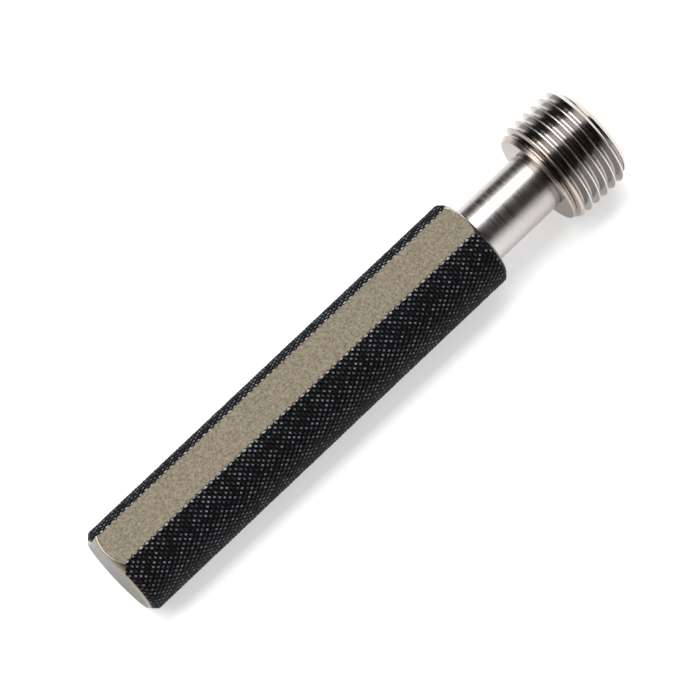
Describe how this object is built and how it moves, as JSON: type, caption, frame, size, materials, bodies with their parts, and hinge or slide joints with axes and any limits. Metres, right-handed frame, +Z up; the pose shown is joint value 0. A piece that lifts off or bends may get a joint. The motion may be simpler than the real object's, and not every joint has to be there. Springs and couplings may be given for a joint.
{
  "type": "thread plug gauge",
  "caption": "Thread plug gauge: a ground left-hand threaded head on a short neck, taper-locked into a slim knurled handle with milled flats.",
  "frame": {"origin": "on the surface that the gauge lies on, under the middle of its bounding box", "axes": "+Z up; +X along the gauge from the butt of the handle to the threaded head, with the gauge's own axis 1.14 degrees above +X; the marking flats face up and down"},
  "size_m": [0.0904, 0.016, 0.0161],
  "materials": {
    "blackened_steel": "diamond knurled and black oxided, with bare blasted flats and bare turned end chamfers",
    "ground_steel": "hardened, ground all round, with lapped thread flanks"
  },
  "bodies": {
    "root": {"handle": "blackened_steel", "gauging_member": "ground_steel"}
  },
  "joints": []
}
